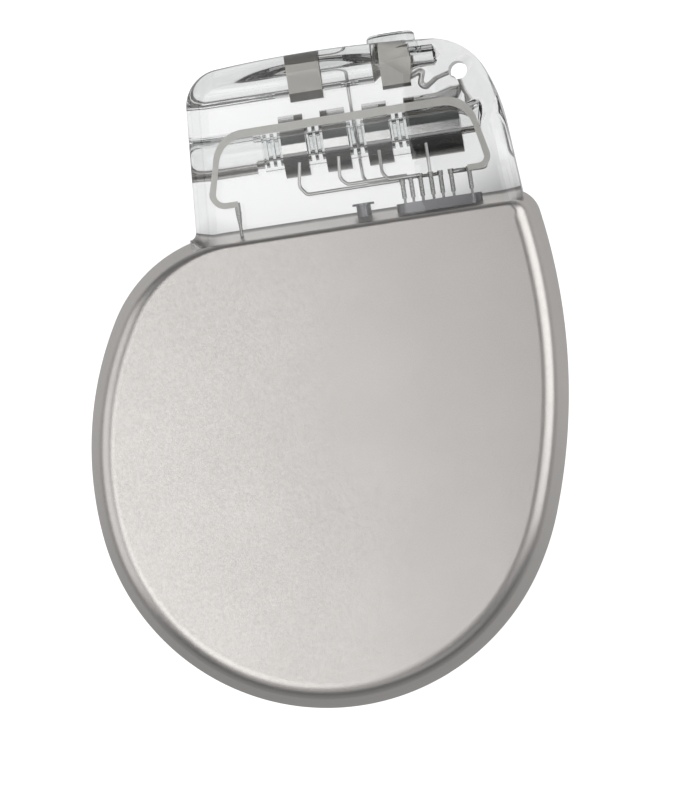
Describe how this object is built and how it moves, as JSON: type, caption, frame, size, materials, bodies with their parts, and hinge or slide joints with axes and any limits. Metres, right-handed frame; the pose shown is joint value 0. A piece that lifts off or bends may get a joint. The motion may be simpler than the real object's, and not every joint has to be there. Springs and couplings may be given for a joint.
{
  "type": "implantable cardioverter defibrillator",
  "caption": "Flat rounded titanium pulse generator with a clear resin header that holds two lead ports, an antenna and wiring.",
  "frame": {"origin": "on the back face of the can, at the centre of the round lower end of its outline", "axes": "+X along the lead bores away from their mouths, +Y from the can to the header, +Z out of the front face"},
  "size_m": [0.0509, 0.0683, 0.012],
  "materials": {
    "can_titanium": "satin, bead blasted titanium",
    "inner_titanium": "plain titanium",
    "clear_resin": "clear cast epoxy, polished",
    "block_steel": "turned and polished stainless alloy",
    "spring_alloy": "bright platinum alloy wire",
    "screw_titanium": "plain titanium",
    "clear_silicone": "clear moulded silicone rubber",
    "antenna_metal": "matte flat ribbon",
    "wire_metal": "drawn wire",
    "pin_metal": "drawn and crimped",
    "feedthrough_glass": "fused glass bead",
    "liner_film": "thin insulating film",
    "frame_plastic": "moulded plastic",
    "battery_case": "drawn steel case",
    "capacitor_case": "drawn aluminium case",
    "board_green": "solder mask",
    "chip_black": "moulded package",
    "ferrite": "pressed ferrite",
    "copper": "enamelled copper winding",
    "flex_amber": "polyimide film",
    "getter_grey": "pressed desiccant"
  },
  "bodies": {
    "device": {"antenna_anchor_pin": "pin_metal", "back_liner": "liner_film", "battery": "battery_case", "battery_terminals": "pin_metal", "can_back_shell": "can_titanium", "can_front_shell": "can_titanium", "capacitor_back": "capacitor_case", "capacitor_front": "capacitor_case", "capacitor_separator": "liner_film", "capacitor_terminals": "pin_metal", "circuit_board": "board_green", "crimp_sleeves": "pin_metal", "df4_contact_ring_1": "block_steel", "df4_contact_ring_2": "block_steel", "df4_contact_ring_3": "block_steel", "df4_contact_spring_1": "spring_alloy", "df4_contact_spring_2": "spring_alloy", "df4_contact_spring_3": "spring_alloy", "df4_ring_wire_1": "wire_metal", "df4_ring_wire_2": "wire_metal", "df4_ring_wire_3": "wire_metal", "df4_seal_1": "clear_silicone", "df4_seal_2": "clear_silicone", "df4_seal_3": "clear_silicone", "df4_seal_4": "clear_silicone", "df4_septum": "clear_silicone", "df4_tip_block": "block_steel", "df4_tip_wire": "wire_metal", "feedthrough_ferrule": "inner_titanium", "feedthrough_insulators": "feedthrough_glass", "feedthrough_pins": "pin_metal", "flex_circuit": "flex_amber", "front_liner": "liner_film", "getter_pad": "getter_grey", "header": "clear_resin", "header_post": "inner_titanium", "high_voltage_switches": "chip_black", "inner_frame": "frame_plastic", "is1_contact_spring": "spring_alloy", "is1_ring_block": "block_steel", "is1_ring_wire": "wire_metal", "is1_septum": "clear_silicone", "is1_tip_block": "block_steel", "is1_tip_wire": "wire_metal", "memory_chip": "chip_black", "processor_chip": "chip_black", "telemetry_antenna": "antenna_metal", "telemetry_coil": "copper", "transformer_core": "ferrite", "transformer_winding": "copper", "vibration_motor": "block_steel", "weld_band": "inner_titanium"},
    "upper_setscrew": {"is1_setscrew": "screw_titanium"},
    "lower_setscrew": {"df4_setscrew": "screw_titanium"}
  },
  "joints": [
    {"name": "upper_setscrew_slide", "type": "slide", "parent": "device", "child": "upper_setscrew", "axis": [0, -1, 0], "range_m": [0, 0.0009]},
    {"name": "lower_setscrew_slide", "type": "slide", "parent": "device", "child": "lower_setscrew", "axis": [0, 0, 1], "range_m": [0, 0.0009]}
  ]
}
